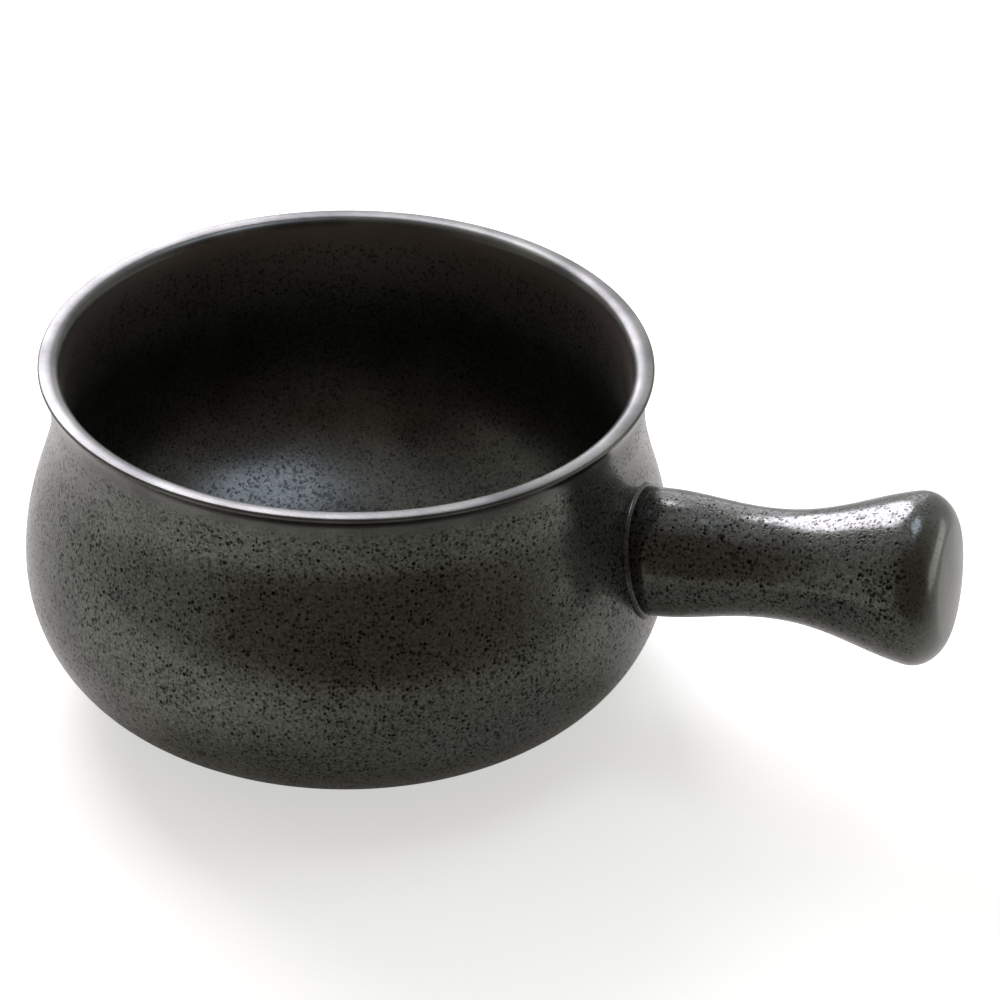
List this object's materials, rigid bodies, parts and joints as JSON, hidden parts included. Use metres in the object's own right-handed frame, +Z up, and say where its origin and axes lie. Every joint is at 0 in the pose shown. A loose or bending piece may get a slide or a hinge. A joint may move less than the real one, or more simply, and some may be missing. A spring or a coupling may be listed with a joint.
{
  "type": "handled bowl",
  "caption": "Round stoneware bowl with a thin flared lip, drawn-in neck, full belly and foot ring, with a waisted hollow side handle that flares to a nearly flat end with a rounded edge.",
  "frame": {"origin": "on the standing surface, under the middle of the whole object's box", "axes": "+X towards the end of the handle, +Z up out of the bowl's mouth"},
  "size_m": [0.1904, 0.1306, 0.073],
  "materials": {
    "bowl_glaze": "dark speckled semi-gloss iron glaze over stoneware",
    "handle_glaze": "dark speckled semi-gloss iron glaze over stoneware",
    "slip_glaze": "dark glaze, thinner over the raised bead"
  },
  "bodies": {
    "root": {"bowl_body": "bowl_glaze", "handle": "handle_glaze", "joining_slip": "slip_glaze"}
  },
  "joints": []
}
